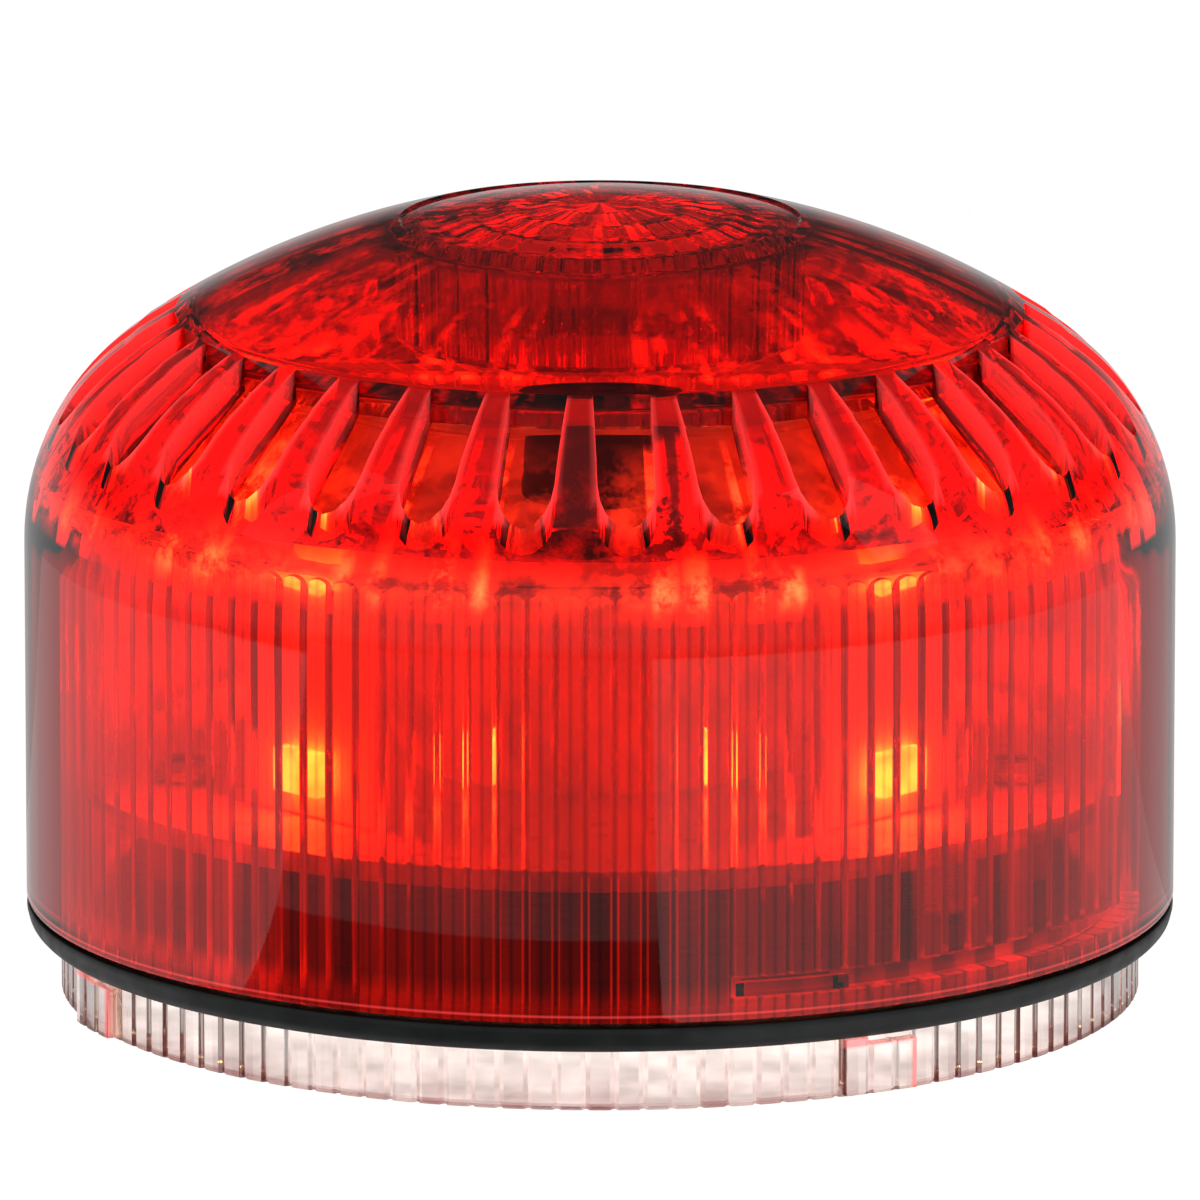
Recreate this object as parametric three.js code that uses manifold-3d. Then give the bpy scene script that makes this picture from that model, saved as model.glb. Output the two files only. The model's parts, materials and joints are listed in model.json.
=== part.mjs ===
// Signalling module: a red dome over a clear fluted body, which twists onto a base by the lugs of its ring.
// Millimetres, +Z up. The origin is the centre of the clear body's bottom rim, and the front faces -Y.
// Azimuths are in degrees from the front, positive towards +X.
import * as THREE from 'three';
import { mergeVertices } from 'three/addons/utils/BufferGeometryUtils.js';
import Module from 'manifold-3d';

const wasm = await Module();
wasm.setup();

// ---------- driving dimensions ----------

const GAP = 0.3; // clearance between neighbouring pieces
const BEYOND = 2; // how far a cutter runs past the face that it opens
const ROOT = 0.5; // how far a joined piece reaches into its neighbour
const CHAMFER = 0.8; // broken edge of a turned plastic piece

// red dome: upright wall, shoulder arc and cap arc
const DOME_R = 45;
const DOME_WALL = 2.4;
const DOME_BOTTOM = 7.4;
const DOME_CHAMFER = 0.35;
const DOME_SEGMENTS = 66;
const SHOULDER = { r: 26, z: 35.8, radius: 19, end: 56.8, steps: 5 };
const CAP = { z: -2.6, radius: 65.5, steps: 4, stepsInside: 3 };
const CAP_PANEL = { r: 15.7, depth: 0.25, steps: 3 }; // shallow round recess on top of the cap
const BOSS = { rIn: 13.7, rOut: 15.7, bottom: 51.1 };
const LENS_RINGS = { count: 3, pitch: 4.6, depth: 0.9, step: 0.4 };
const POCKETS = { count: 33, width: 4.4, phase: 2.85, corner: 1.2 };
const POCKET_FLOOR = { rTop: 33.1, zTop: 51.2, rEnd: 42.4, zEnd: 43.2 };
const POCKET_WALL = 1.8; // between a pocket's floor and the inside of the dome
const POCKET_STEP = 0.9; // width of the step inside the dome above the pockets
const DOME_LUGS = { azimuths: [20, 200], halfAngle: 5.1, rIn: 41.1, z: 9, height: 1 };
const DOME_TWIST = 55; // degrees from locked to the entry slots

// clear fluted body with its coupling ring
const BODY_R = 42.3;
const BODY_R_IN = 40.1;
const BODY_TOP = 43;
const FLUTES = { count: 120, flat: 1.5, depth: 0.45 };
const BORE_SEGMENTS = 48;
const LEDGE = { rIn: 38.7, z: 4.6, height: 1.3 }; // carries the base plate
const SLOT_DEPTH = 1.5;
const SLOT_PLAY = 0.45; // degrees at each end
const TOP_CLEARANCE = 0.35; // between the body's top and the inside of the dome
const RING_LUGS = { azimuths: [-67, 28.5, 118, 208], proud: 1, high: 4.7, low: 4.2, foot: 0.3 };
const RING_LUG_WIDTHS = { high: 2.3, low: 3.6 };

// gasket, with a lip that leans out to its widest at the top
const GASKET = { rIn: 42.6, rFoot: 44.3, rLip: 44.85, rOut: 45, rTop: 44.8 };
const GASKET_HEIGHTS = { bottom: 5, lip: 5.9, edge: 6.8, top: 7.1 };

// base plate and its pillars
const PLATE = { r: 39.7, z: 6.2, thickness: 1.6 };
const PILLARS = { azimuths: [-75, 75, 180], r: 33, radius: 2.6, pilot: 1.4, pilotDepth: 6, segments: 16 };
const PILLAR_CLEARANCE = 0.4;
const SCREW = { hole: 1.5, rShank: 1, pointLength: 0.8 };
const SCREW_HEAD = { r: 2.3, rCrown: 1.7, rimHeight: 0.7, height: 1.4 };
const SCREW_DRIVE = { length: 2.4, width: 0.6 };
const SCREW_END_GAP = 1; // below the screw's point in its pilot hole
const CARRIER_HOLE_R = 14.9;

// boards
const BOARD_THICKNESS = 1.6;
const LOWER_BOARD = { r: 37.5, z: 9.4 };
const MAIN_BOARD = { r: 39.7, z: 16.9 };
const TOP_BOARD = { r: 28.4, z: 35.7 };
const MAIN_TOP = MAIN_BOARD.z + BOARD_THICKNESS;
const LOWER_TOP = LOWER_BOARD.z + BOARD_THICKNESS;
const HEADERS = { azimuths: [-43, 137], r: 33, pins: 5, pitch: 2.54, side: 2.4, post: 0.7 };

// contacts
const CARRIER = { r: 14.5, bottom: 5, chamber: 2.4, hole: 1.4, floor: 6.4, sides: 12 };
const CONTACTS = { count: 4, r: 8 };
const PLUNGER = { tip: 3.9, rTip: 1.1, flange: 6.7, rFlange: 1.9, flangeTop: 7.7, rNub: 0.9, top: 9.2 };
const PLUNGER_TIP = { rFlat: 0.77, flatRise: 0.1, roundRise: 0.5 };
const SPRING = { bottom: 8.1, top: 16.2, radius: 1.5, wire: 0.25, turns: 3.5, stepsPerTurn: 8, sides: 3 };

// light
const LED_BOARDS = { azimuths: [45, 135, 225, 315], r: 30, width: 14, height: 21.5 };
const LED = { width: 4.6, height: 3.4, thickness: 1.1, low: 22.4, high: 36.8 };
const GUIDE = { rBottom: 15, rTop: 24, wall: 1.6, segments: 36 };

// sounder
const SOUNDER = { r: 6.5, wall: 0.8, height: 8.4, capHeight: 1.3, port: 1.4, edge: 0.4, segments: 32 };
const SOUNDER_CORE_R = 2;
const DIAPHRAGM = { thickness: 0.3, belowRim: 1.6, segments: 24 };

// adjusters on the underside
const SWITCH = { y: 22, width: 10.4, length: 6.2, bottom: 6.6, levers: 4, pitch: 2.54 };
const LEVER = { width: 0.8, length: 1.6, travel: 1, bottom: 5.9, height: 1.4 };
const TRIMMER = { y: -22, side: 6.4, bottom: 6.6, rRotor: 2.1, rotorBottom: 6.1, rotorHeight: 1.3 };
const TRIMMER_GROOVE = { width: 0.7, length: 3.3, depth: 0.5 };

// power parts on top of the lower board
const CAN = { bead: 0.2, beadHeight: 0.7, neck: 1, edge: 0.3, segments: 20 };
const CAPACITORS = { radius: 3.1, height: 5, r: 32.5, azimuths: [50, 100, 155] };
const INDUCTOR = { radius: 4.4, height: 4.4, r: 31, azimuth: 28 };
const CHIP = { side: 6, height: 1.4, r: 27, azimuth: 210 };

// ---------- finishes ----------

const FINISH = {
  red: { color: 0xc4101a, roughness: 0.08, metalness: 0, transparent: true, opacity: 0.75 },
  clear: { color: 0xf0efec, roughness: 0.1, metalness: 0, transparent: true, opacity: 0.5 },
  rubber: { color: 0x191c1c, roughness: 0.6, metalness: 0 },
  white: { color: 0xf2f0ea, roughness: 0.5, metalness: 0 },
  black: { color: 0x161616, roughness: 0.45, metalness: 0 },
  board: { color: 0xe8e6dc, roughness: 0.45, metalness: 0 },
  greenBoard: { color: 0x1f5a34, roughness: 0.45, metalness: 0 },
  led: { color: 0xffc878, roughness: 0.3, metalness: 0 },
  gold: { color: 0xd9b35a, roughness: 0.25, metalness: 1 },
  steel: { color: 0xb8babd, roughness: 0.3, metalness: 1 },
  brass: { color: 0xc9a24e, roughness: 0.3, metalness: 1 },
  ferrite: { color: 0x35353a, roughness: 0.6, metalness: 0.2 },
  blue: { color: 0x2350a0, roughness: 0.4, metalness: 0 },
};

// ---------- geometry to solid and back ----------

const rad = THREE.MathUtils.degToRad;

function signedVolume(position, index) {
  const [a, b, c] = [new THREE.Vector3(), new THREE.Vector3(), new THREE.Vector3()];
  let total = 0;
  for (let i = 0; i < index.length; i += 3) {
    a.fromBufferAttribute(position, index[i]);
    b.fromBufferAttribute(position, index[i + 1]);
    c.fromBufferAttribute(position, index[i + 2]);
    total += a.dot(b.cross(c));
  }
  return total;
}

function solid(geometry) {
  geometry.deleteAttribute('normal');
  geometry.deleteAttribute('uv');
  const merged = mergeVertices(geometry, 1e-4);
  const position = merged.attributes.position;
  const source = merged.index.array;
  let triangles = [];
  for (let i = 0; i < source.length; i += 3) {
    const [a, b, c] = source.slice(i, i + 3);
    if (a !== b && b !== c && c !== a) triangles.push(a, b, c);
  }
  if (signedVolume(position, triangles) < 0) triangles = triangles.reverse();
  const vertProperties = new Float32Array(position.array);
  const triVerts = new Uint32Array(triangles);
  return new wasm.Manifold(new wasm.Mesh({ numProp: 3, vertProperties, triVerts }));
}

function geometryOf(shape) {
  const { vertProperties, triVerts } = shape.getMesh();
  const geometry = new THREE.BufferGeometry();
  geometry.setAttribute('position', new THREE.BufferAttribute(vertProperties, 3));
  geometry.setIndex(new THREE.BufferAttribute(triVerts, 1));
  geometry.computeVertexNormals();
  return geometry;
}

const joined = (shapes) => shapes.reduce((whole, shape) => whole.add(shape));

// ---------- basic shapes ----------

function lathe(points, segments) {
  const profile = points.map(([r, z]) => new THREE.Vector2(r, z));
  return solid(new THREE.LatheGeometry(profile, segments).rotateX(Math.PI / 2));
}

function cylinder(r, z0, z1, segments = 24, x = 0, y = 0) {
  const geometry = new THREE.CylinderGeometry(r, r, z1 - z0, segments).rotateX(Math.PI / 2);
  return solid(geometry.translate(x, y, (z0 + z1) / 2));
}

function ring(rIn, rOut, z0, z1, segments) {
  return lathe([[rIn, z0], [rOut, z0], [rOut, z1], [rIn, z1], [rIn, z0]], segments);
}

function box(width, length, height, x, y, zBottom) {
  return solid(new THREE.BoxGeometry(width, length, height).translate(x, y, zBottom + height / 2));
}

function prism(shape, height, zBottom, curveSegments = 12) {
  const geometry = new THREE.ExtrudeGeometry(shape, { depth: height, bevelEnabled: false, curveSegments });
  return solid(geometry.translate(0, 0, zBottom));
}

// a stretch of a ring between two azimuths, in steps of about 5 degrees
function sector(rIn, rOut, from, to, z0, z1) {
  const [start, end] = [rad(from - 90), rad(to - 90)];
  const shape = new THREE.Shape();
  shape.absarc(0, 0, rOut, start, end, false);
  shape.absarc(0, 0, rIn, end, start, true);
  const steps = Math.max(3, Math.ceil((to - from) / 5));
  return prism(shape, z1 - z0, z0, steps);
}

// what is built at the front, turned round Z to an azimuth
const turned = (shape, azimuth) => solid(geometryOf(shape).rotateZ(rad(azimuth)));

const at = (r, azimuth) => [r * Math.sin(rad(azimuth)), -r * Math.cos(rad(azimuth))];

function arc(r, z, radius, from, to, steps) {
  const points = [];
  for (let i = 0; i <= steps; i += 1) {
    const angle = rad(THREE.MathUtils.lerp(from, to, i / steps));
    points.push([r + radius * Math.cos(angle), z + radius * Math.sin(angle)]);
  }
  return points;
}

// ---------- scene graph ----------

const part = new THREE.Group();

function place(name, shape, finish, parent = part) {
  const mesh = new THREE.Mesh(geometryOf(shape), new THREE.MeshStandardMaterial(FINISH[finish]));
  mesh.name = name;
  parent.add(mesh);
  return mesh;
}

// ---------- red dome ----------

// the line that the pockets' floors lie on, moved in by a distance
function floorLine(inset) {
  const { rTop, zTop, rEnd, zEnd } = POCKET_FLOOR;
  const [dr, dz] = [rEnd - rTop, zEnd - zTop];
  const length = Math.hypot(dr, dz);
  const r0 = rTop + (dz / length) * inset;
  const z0 = zTop - (dr / length) * inset;
  const slope = dz / dr;
  return { r0, z0, slope, zAt: (r) => z0 + (r - r0) * slope };
}

function domeOutside() {
  const capStart = 90 - THREE.MathUtils.radToDeg(
    Math.asin((SHOULDER.r + SHOULDER.radius * Math.cos(rad(SHOULDER.end))) / CAP.radius),
  );
  const panelAngle = 90 - THREE.MathUtils.radToDeg(Math.asin(CAP_PANEL.r / CAP.radius));
  const shoulder = arc(SHOULDER.r, SHOULDER.z, SHOULDER.radius, 0, SHOULDER.end, SHOULDER.steps);
  const cap = arc(0, CAP.z, CAP.radius, capStart, panelAngle, CAP.steps).slice(1);
  const panel = arc(0, CAP.z - CAP_PANEL.depth, CAP.radius, panelAngle, 90, CAP_PANEL.steps);
  return [
    [DOME_R - DOME_CHAMFER, DOME_BOTTOM],
    [DOME_R, DOME_BOTTOM + DOME_CHAMFER],
    ...shoulder,
    ...cap,
    ...panel.slice(0, -1),
    [0, CAP.z + CAP.radius - CAP_PANEL.depth],
  ];
}

function lensRings(roofAt) {
  const points = [];
  for (let i = 0; i < LENS_RINGS.count; i += 1) {
    const r = i * LENS_RINGS.pitch;
    const outer = Math.min(r + LENS_RINGS.pitch - LENS_RINGS.step, BOSS.rIn);
    points.push([r, roofAt(r) - (i ? LENS_RINGS.depth : 0)]);
    points.push([outer, roofAt(outer)]);
  }
  return points;
}

function domeInside() {
  const radius = CAP.radius - DOME_WALL;
  const roofAt = (r) => CAP.z + Math.sqrt(radius * radius - r * r);
  const inner = floorLine(POCKET_WALL);
  const stepR = inner.r0 - POCKET_STEP;
  const wallR = DOME_R - DOME_WALL;
  const roof = [];
  for (let i = 1; i < CAP.stepsInside; i += 1) {
    const r = THREE.MathUtils.lerp(BOSS.rOut, stepR, i / CAP.stepsInside);
    roof.push([r, roofAt(r)]);
  }
  return [
    ...lensRings(roofAt),
    [BOSS.rIn, BOSS.bottom],
    [BOSS.rOut, BOSS.bottom],
    [BOSS.rOut, roofAt(BOSS.rOut)],
    ...roof,
    [stepR, roofAt(stepR)],
    [inner.r0, inner.z0],
    [wallR, inner.zAt(wallR)],
    [wallR, DOME_BOTTOM],
  ];
}

// upright all round, with a sloping floor and a square end with broken corners
function pocketCutter() {
  const { width, corner } = POCKETS;
  const { rTop, rEnd } = POCKET_FLOOR;
  const [half, sideEnd] = [width / 2, rEnd - corner];
  const outline = new THREE.Shape([
    new THREE.Vector2(-half, -rTop),
    new THREE.Vector2(-half, -sideEnd),
    new THREE.Vector2(corner - half, -rEnd),
    new THREE.Vector2(half - corner, -rEnd),
    new THREE.Vector2(half, -sideEnd),
    new THREE.Vector2(half, -rTop),
  ]);
  const top = CAP.z + CAP.radius + BEYOND;
  const geometry = new THREE.ExtrudeGeometry(outline, { depth: top, bevelEnabled: false });
  const floor = floorLine(0);
  const { position } = geometry.attributes;
  for (let i = 0; i < position.count; i += 1) {
    if (position.getZ(i) === 0) position.setZ(i, floor.zAt(-position.getY(i)));
  }
  return solid(geometry);
}

function domeLens() {
  const shell = lathe([...domeInside(), ...domeOutside()], DOME_SEGMENTS);
  const cutter = pocketCutter();
  const lugs = DOME_LUGS.azimuths.map((azimuth) => {
    const { halfAngle, rIn, z, height } = DOME_LUGS;
    return sector(rIn, DOME_R - DOME_WALL / 2, azimuth - halfAngle, azimuth + halfAngle, z, z + height);
  });
  let lens = lugs.reduce((whole, lug) => whole.add(lug), shell);
  for (let i = 0; i < POCKETS.count; i += 1) {
    lens = lens.subtract(turned(cutter, POCKETS.phase + (i * 360) / POCKETS.count));
  }
  return lens;
}

// ---------- clear body ----------

function flutedOutline() {
  const points = [];
  const pitch = (2 * Math.PI) / FLUTES.count;
  const half = FLUTES.flat / 2 / BODY_R;
  const corner = (radius, angle) => new THREE.Vector2(radius * Math.sin(angle), -radius * Math.cos(angle));
  for (let i = 0; i < FLUTES.count; i += 1) {
    const centre = i * pitch;
    points.push(corner(BODY_R, centre - half));
    points.push(corner(BODY_R, centre + half));
    points.push(corner(BODY_R - FLUTES.depth, centre + pitch / 2));
  }
  return new THREE.Shape(points);
}

// what lies above the cone that runs just under the inside of the dome
function bodyTopCutter() {
  const cone = floorLine(POCKET_WALL + TOP_CLEARANCE);
  const [inner, outer] = [BODY_R_IN - BEYOND, BODY_R + BEYOND];
  const top = cone.zAt(inner) + BEYOND;
  const profile = [[inner, cone.zAt(inner)], [outer, cone.zAt(outer)], [outer, top], [inner, top]];
  return lathe([...profile, profile[0]], DOME_SEGMENTS);
}

function twistSlots() {
  const { azimuths, halfAngle, z, height } = DOME_LUGS;
  const rIn = BODY_R - SLOT_DEPTH;
  const [low, high] = [z - GAP, z + height + GAP];
  return azimuths.flatMap((azimuth) => {
    const end = azimuth + DOME_TWIST;
    const side = halfAngle + SLOT_PLAY;
    const track = sector(rIn, BODY_R + BEYOND, azimuth - side, end + side, low, high);
    const entry = sector(rIn, BODY_R + BEYOND, end - side, end + side, low, BODY_TOP + BEYOND);
    return [track, entry];
  });
}

// a bayonet lug with a step in its top edge
function ringLug() {
  const { proud, high, low, foot } = RING_LUGS;
  const { high: highWidth, low: lowWidth } = RING_LUG_WIDTHS;
  const depth = proud + FLUTES.depth + ROOT;
  const y = -(BODY_R + proud - depth / 2);
  const whole = highWidth + lowWidth;
  const tall = box(highWidth, depth, high - foot, (highWidth - whole) / 2, y, foot);
  const short = box(whole, depth, low - foot, 0, y, foot);
  return tall.add(short);
}

function clearBody() {
  let body = prism(flutedOutline(), BODY_TOP, 0);
  body = body.subtract(cylinder(BODY_R_IN, -BEYOND, BODY_TOP + BEYOND, BORE_SEGMENTS));
  const ledge = ring(LEDGE.rIn, BODY_R_IN + ROOT, LEDGE.z, LEDGE.z + LEDGE.height, BORE_SEGMENTS);
  body = body.subtract(bodyTopCutter()).add(ledge);
  for (const slot of twistSlots()) body = body.subtract(slot);
  for (const azimuth of RING_LUGS.azimuths) body = body.add(turned(ringLug(), azimuth));
  return body;
}

function gasket() {
  const { rIn, rFoot, rLip, rOut, rTop } = GASKET;
  const { bottom, lip, edge, top } = GASKET_HEIGHTS;
  const profile = [[rIn, bottom], [rFoot, bottom], [rLip, lip], [rOut, edge], [rTop, top], [rIn, top]];
  return lathe([...profile, profile[0]], BORE_SEGMENTS);
}

// ---------- base plate, boards and screws ----------

function basePlate() {
  const top = PLATE.z + PLATE.thickness;
  let plate = ring(CARRIER_HOLE_R, PLATE.r, PLATE.z, top, BORE_SEGMENTS);
  const switchWindow = [SWITCH.width + 2 * GAP, SWITCH.length + 2 * GAP, PLATE.thickness + 2 * BEYOND];
  const trimmerSide = TRIMMER.side + 2 * GAP;
  plate = plate.subtract(box(...switchWindow, 0, SWITCH.y, PLATE.z - BEYOND));
  plate = plate.subtract(box(trimmerSide, trimmerSide, switchWindow[2], 0, TRIMMER.y, PLATE.z - BEYOND));
  const pillarTop = MAIN_BOARD.z - GAP;
  for (const azimuth of PILLARS.azimuths) {
    const [x, y] = at(PILLARS.r, azimuth);
    const { radius, pilot, pilotDepth, segments } = PILLARS;
    plate = plate.add(cylinder(radius, top - ROOT, pillarTop, segments, x, y));
    plate = plate.subtract(cylinder(pilot, pillarTop - pilotDepth, pillarTop + BEYOND, segments, x, y));
  }
  return plate;
}

function board(spec, holeRadius) {
  let plate = cylinder(spec.r, spec.z, spec.z + BOARD_THICKNESS, BORE_SEGMENTS);
  if (!holeRadius) return plate;
  for (const azimuth of PILLARS.azimuths) {
    const [x, y] = at(PILLARS.r, azimuth);
    const [low, high] = [spec.z - BEYOND, spec.z + BOARD_THICKNESS + BEYOND];
    plate = plate.subtract(cylinder(holeRadius, low, high, PILLARS.segments, x, y));
  }
  return plate;
}

function lowerBoard() {
  const hole = cylinder(CARRIER_HOLE_R, LOWER_BOARD.z - BEYOND, LOWER_TOP + BEYOND, BORE_SEGMENTS);
  return board(LOWER_BOARD, PILLARS.radius + PILLAR_CLEARANCE).subtract(hole);
}

function boardScrew() {
  const { rShank, pointLength } = SCREW;
  const { r, rCrown, rimHeight, height } = SCREW_HEAD;
  const head = MAIN_TOP + GAP;
  const tip = MAIN_BOARD.z - GAP - PILLARS.pilotDepth + SCREW_END_GAP;
  const blank = lathe([
    [0, tip],
    [rShank, tip + pointLength],
    [rShank, head],
    [r, head],
    [r, head + rimHeight],
    [rCrown, head + height],
    [0, head + height],
  ], 16);
  const { length, width } = SCREW_DRIVE;
  const driveZ = head + rimHeight;
  const cross = box(length, width, BEYOND, 0, 0, driveZ).add(box(width, length, BEYOND, 0, 0, driveZ));
  return blank.subtract(cross);
}

function placeScrews() {
  const screw = boardScrew();
  PILLARS.azimuths.forEach((azimuth, i) => {
    const mesh = place(`board_screw_${i + 1}`, screw, 'steel');
    mesh.position.set(...at(PILLARS.r, azimuth), 0);
  });
}

function pinHeader() {
  const { pins, pitch, side, post } = HEADERS;
  const foot = LOWER_TOP + GAP;
  const housing = box(pins * pitch, side, side, 0, 0, foot);
  const height = MAIN_BOARD.z - GAP - foot - ROOT;
  const posts = Array.from({ length: pins }, (_, i) =>
    box(post, post, height, (i - (pins - 1) / 2) * pitch, 0, foot + ROOT));
  return joined([housing, ...posts]);
}

function placeHeaders() {
  HEADERS.azimuths.forEach((azimuth, i) => {
    const mesh = place(`pin_header_${i + 1}`, pinHeader(), 'black');
    mesh.position.set(...at(HEADERS.r, azimuth), 0);
    mesh.rotation.z = rad(azimuth);
  });
}

// ---------- contacts ----------

function contactCarrier() {
  const top = MAIN_BOARD.z - GAP;
  let carrier = lathe([
    [0, CARRIER.bottom],
    [CARRIER.r - CHAMFER, CARRIER.bottom],
    [CARRIER.r, CARRIER.bottom + CHAMFER],
    [CARRIER.r, top],
    [0, top],
  ], BORE_SEGMENTS);
  for (let i = 0; i < CONTACTS.count; i += 1) {
    const [x, y] = at(CONTACTS.r, (i * 360) / CONTACTS.count);
    const { hole, chamber, bottom, floor, sides } = CARRIER;
    carrier = carrier.subtract(cylinder(hole, bottom - BEYOND, floor + BEYOND, sides, x, y));
    carrier = carrier.subtract(cylinder(chamber, floor, top + BEYOND, sides, x, y));
  }
  return carrier;
}

function contactPlunger() {
  const { tip, rTip, flange, rFlange, flangeTop, rNub, top } = PLUNGER;
  const { rFlat, flatRise, roundRise } = PLUNGER_TIP;
  return lathe([
    [0, tip],
    [rFlat, tip + flatRise],
    [rTip, tip + roundRise],
    [rTip, flange],
    [rFlange, flange],
    [rFlange, flangeTop],
    [rNub, flangeTop],
    [rNub, top],
    [0, top],
  ], 16);
}

class Helix extends THREE.Curve {
  getPoint(t, target = new THREE.Vector3()) {
    const angle = t * SPRING.turns * 2 * Math.PI;
    const z = THREE.MathUtils.lerp(SPRING.bottom, SPRING.top, t);
    return target.set(SPRING.radius * Math.cos(angle), SPRING.radius * Math.sin(angle), z);
  }
}

function contactSpring() {
  const wire = new THREE.Shape();
  wire.absarc(0, 0, SPRING.wire, 0, 2 * Math.PI);
  return solid(new THREE.ExtrudeGeometry(wire, {
    extrudePath: new Helix(),
    steps: SPRING.turns * SPRING.stepsPerTurn,
    curveSegments: SPRING.sides,
    bevelEnabled: false,
  }));
}

function placeContacts() {
  for (let i = 0; i < CONTACTS.count; i += 1) {
    const group = new THREE.Group();
    group.position.set(...at(CONTACTS.r, (i * 360) / CONTACTS.count), 0);
    place(`contact_plunger_${i + 1}`, contactPlunger(), 'gold', group);
    place(`contact_spring_${i + 1}`, contactSpring(), 'steel', group);
    part.add(group);
  }
}

// ---------- light ----------

function placeLedBoards() {
  const { azimuths, r, width, height } = LED_BOARDS;
  const foot = MAIN_TOP + GAP;
  const ledY = -(BOARD_THICKNESS / 2 + GAP + LED.thickness / 2);
  azimuths.forEach((azimuth, i) => {
    const group = new THREE.Group();
    group.position.set(...at(r, azimuth), 0);
    group.rotation.z = rad(azimuth);
    place(`led_board_${i + 1}`, box(width, BOARD_THICKNESS, height, 0, 0, foot), 'board', group);
    for (const level of ['low', 'high']) {
      const led = box(LED.width, LED.thickness, LED.height, 0, ledY, LED[level] - LED.height / 2);
      place(`led_${level}_${i + 1}`, led, 'led', group);
    }
    part.add(group);
  });
}

function lightGuide() {
  const [bottom, top] = [MAIN_TOP + GAP, TOP_BOARD.z - GAP];
  const { rBottom, rTop, wall } = GUIDE;
  const profile = [[rBottom - wall, bottom], [rBottom, bottom], [rTop, top], [rTop - wall, top]];
  return lathe([...profile, profile[0]], GUIDE.segments);
}

// ---------- sounder ----------

function placeSounder() {
  const { r, wall, height, capHeight, port, edge, segments } = SOUNDER;
  const floor = TOP_BOARD.z + BOARD_THICKNESS + GAP;
  const rim = floor + height - capHeight - GAP;
  const seat = rim - DIAPHRAGM.belowRim;
  place('sounder_case', lathe([
    [0, floor],
    [r, floor],
    [r, rim],
    [r - wall, rim],
    [r - wall, floor + wall],
    [0, floor + wall],
  ], segments), 'black');
  place('sounder_core', cylinder(SOUNDER_CORE_R, floor + wall + GAP, seat - GAP, 16), 'ferrite');
  const diaphragm = cylinder(r - wall - GAP, seat, seat + DIAPHRAGM.thickness, DIAPHRAGM.segments);
  place('sounder_diaphragm', diaphragm, 'brass');
  const [capBottom, capTop] = [rim + GAP, rim + GAP + capHeight];
  const cap = [[port, capBottom], [r, capBottom], [r, capTop - edge], [r - edge, capTop], [port, capTop]];
  place('sounder_cap', lathe([...cap, cap[0]], segments), 'black');
}

// ---------- parts on the lower board ----------

function placeSwitch() {
  const { y, width, length, bottom, levers, pitch } = SWITCH;
  const height = LOWER_BOARD.z - GAP - bottom;
  const slotLength = LEVER.length + LEVER.travel + 2 * GAP;
  const slotTop = LEVER.bottom + LEVER.height + GAP;
  let body = box(width, length, height, 0, y, bottom);
  for (let i = 0; i < levers; i += 1) {
    const x = (i - (levers - 1) / 2) * pitch;
    const slot = box(LEVER.width + 2 * GAP, slotLength, slotTop - bottom + BEYOND, x, y, bottom - BEYOND);
    body = body.subtract(slot);
    const leverY = y - LEVER.travel / 2;
    const lever = box(LEVER.width, LEVER.length, LEVER.height, 0, 0, LEVER.bottom);
    place(`tone_switch_lever_${i + 1}`, lever, 'white').position.set(x, leverY, 0);
  }
  place('tone_switch_body', body, 'blue');
}

function placeTrimmer() {
  const { y, side, bottom, rRotor, rotorBottom, rotorHeight } = TRIMMER;
  const rotorTop = rotorBottom + rotorHeight;
  const seat = cylinder(rRotor + GAP, bottom - BEYOND, rotorTop + GAP, 24, 0, y);
  const body = box(side, side, LOWER_BOARD.z - GAP - bottom, 0, y, bottom).subtract(seat);
  place('volume_trimmer_body', body, 'blue');
  const { width, length, depth } = TRIMMER_GROOVE;
  const groove = box(width, length, depth + BEYOND, 0, 0, rotorBottom - BEYOND);
  const rotor = cylinder(rRotor, rotorBottom, rotorTop).subtract(groove);
  place('volume_trimmer_rotor', rotor, 'white').position.set(0, y, 0);
}

function can({ radius, height }) {
  const foot = LOWER_TOP + GAP;
  const { bead, beadHeight, neck, edge, segments } = CAN;
  return lathe([
    [0, foot],
    [radius + bead, foot],
    [radius + bead, foot + beadHeight],
    [radius, foot + neck],
    [radius, foot + height - edge],
    [radius - edge, foot + height],
    [0, foot + height],
  ], segments);
}

function placePowerParts() {
  CAPACITORS.azimuths.forEach((azimuth, i) => {
    place(`capacitor_${i + 1}`, can(CAPACITORS), 'ferrite').position.set(...at(CAPACITORS.r, azimuth), 0);
  });
  place('inductor', can(INDUCTOR), 'ferrite').position.set(...at(INDUCTOR.r, INDUCTOR.azimuth), 0);
  const chip = box(CHIP.side, CHIP.side, CHIP.height, 0, 0, LOWER_TOP + GAP);
  place('driver_chip', chip, 'black').position.set(...at(CHIP.r, CHIP.azimuth), 0);
}

// ---------- assembly ----------

place('dome_lens', domeLens(), 'red');
place('clear_body', clearBody(), 'clear');
place('gasket', gasket(), 'rubber');
place('base_plate', basePlate(), 'white');
place('lower_board', lowerBoard(), 'greenBoard');
place('main_board', board(MAIN_BOARD, SCREW.hole), 'board');
place('top_board', board(TOP_BOARD, 0), 'board');
place('contact_carrier', contactCarrier(), 'black');
place('light_guide', lightGuide(), 'white');
placeContacts();
placeScrews();
placeHeaders();
placeLedBoards();
placeSounder();
placeSwitch();
placeTrimmer();
placePowerParts();

export default part;
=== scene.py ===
import json
import math
import random

import bmesh
import bpy
from mathutils import Matrix, Vector


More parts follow.
